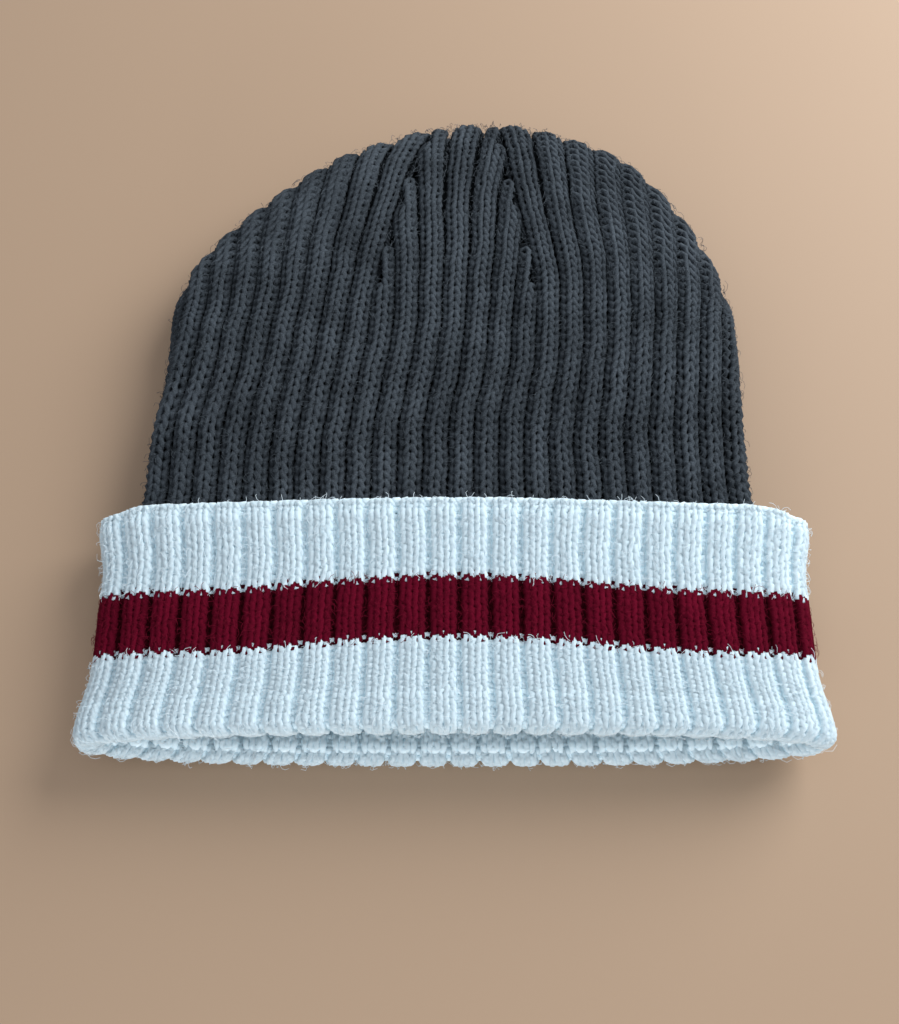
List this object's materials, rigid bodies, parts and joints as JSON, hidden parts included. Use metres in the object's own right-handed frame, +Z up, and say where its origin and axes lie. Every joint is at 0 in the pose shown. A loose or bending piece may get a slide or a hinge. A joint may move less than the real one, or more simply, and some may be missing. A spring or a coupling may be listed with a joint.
{
  "type": "knit beanie",
  "caption": "Ribbed knit beanie lying flat, grey crown drawn in by eight darts, with a turned-up white cuff that has a dark red stripe.",
  "frame": {"origin": "on the table under the middle of the hat's bounding box, with the hat lying flat", "axes": "+Z up off the table, +Y from the mouth towards the tip, +X across the hat to the right as seen from the mouth"},
  "size_m": [0.229, 0.2375, 0.027],
  "materials": {
    "grey_yarn": "soft fuzzy charcoal grey acrylic yarn in a two by two rib",
    "white_yarn": "soft white acrylic yarn in a two by two rib",
    "red_yarn": "soft deep red acrylic yarn in a two by two rib"
  },
  "bodies": {
    "crown": {"crown_side_wall": "grey_yarn", "crown_gore_front": "grey_yarn", "crown_gore_front_right": "grey_yarn", "crown_gore_right": "grey_yarn", "crown_gore_back_right": "grey_yarn", "crown_gore_back": "grey_yarn", "crown_gore_back_left": "grey_yarn", "crown_gore_left": "grey_yarn", "crown_gore_front_left": "grey_yarn", "dart_seam_1": "grey_yarn", "dart_seam_2": "grey_yarn", "dart_seam_3": "grey_yarn", "dart_seam_4": "grey_yarn", "dart_seam_5": "grey_yarn", "dart_seam_6": "grey_yarn", "dart_seam_7": "grey_yarn", "dart_seam_8": "grey_yarn", "crown_back_seam": "grey_yarn", "tip_gather": "grey_yarn", "inner_white_band": "white_yarn"},
    "cuff": {"cuff_lower_white_band": "white_yarn", "cuff_red_stripe": "red_yarn", "cuff_upper_white_band": "white_yarn", "cuff_tubular_edge": "white_yarn", "cuff_back_seam": "white_yarn"}
  },
  "joints": [
    {"name": "cuff_turn_down", "type": "slide", "parent": "crown", "child": "cuff", "axis": [0, -1, 0], "range_m": [0, 0.066]}
  ]
}
